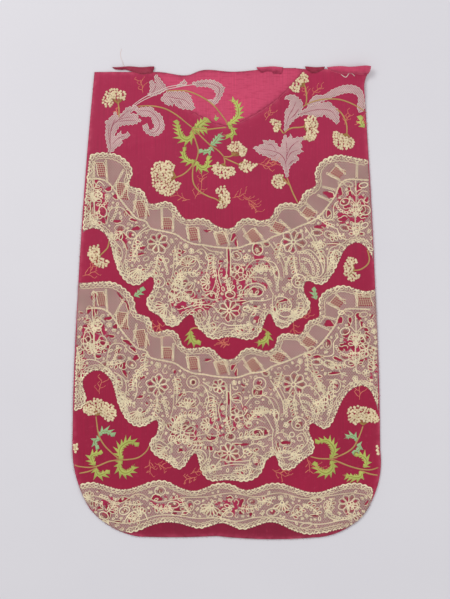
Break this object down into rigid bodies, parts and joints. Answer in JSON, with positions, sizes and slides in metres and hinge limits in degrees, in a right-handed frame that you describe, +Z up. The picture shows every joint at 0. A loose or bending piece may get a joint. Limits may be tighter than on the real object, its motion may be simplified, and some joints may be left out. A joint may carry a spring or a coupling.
{
  "type": "chasuble panel",
  "caption": "Half of a fiddleback chasuble laid flat: a lined silk panel with a pieced neck, brocaded with lace-like bands, leaves and flower heads.",
  "frame": {"origin": "on the surface the panel lies on, under the middle of its bounding box", "axes": "+X to the panel's right as it is looked at, +Y along the centre line towards the neck, +Z up out of the brocaded face"},
  "size_m": [0.6304, 1.0011, 0.011],
  "materials": {
    "crimson_silk": "woven satin, soft sheen",
    "pink_silk": "worn woven satin, soft sheen",
    "interlining_linen": "coarse plain-woven linen, matt",
    "lining_silk": "plain-woven lining, slight sheen",
    "net_weft": "fine openwork brocading, matt",
    "cream_weft": "raised brocading cord, soft sheen",
    "olive_weft": "brocading silk, soft sheen",
    "silver_weft": "tarnished metal-wrapped brocading yarn",
    "green_weft": "brocading silk, soft sheen",
    "floret_weft": "chenille-like brocading silk, matt",
    "coral_weft": "fine brocading silk, soft sheen",
    "sewing_silk": "twisted sewing silk",
    "linen_thread": "twisted linen thread"
  },
  "bodies": {
    "root": {"main_panel": "crimson_silk", "left_shoulder_turning": "crimson_silk", "right_shoulder_knot": "crimson_silk", "right_shoulder_roll": "crimson_silk", "edge_frays": "crimson_silk", "neck_insert": "pink_silk", "neck_turning": "pink_silk", "interlining": "interlining_linen", "lining": "lining_silk", "upper_lace_net": "net_weft", "lower_lace_net": "net_weft", "hem_lace_net": "net_weft", "upper_lace_cord": "cream_weft", "lower_lace_cord": "cream_weft", "hem_lace_cord": "cream_weft", "vine_stems": "olive_weft", "silver_leaves": "silver_weft", "thistle_leaves": "green_weft", "umbel_florets": "floret_weft", "coral_sprigs": "coral_weft", "neck_seam_stitches": "sewing_silk", "edge_tacking": "linen_thread", "loose_thread": "linen_thread"}
  },
  "joints": []
}
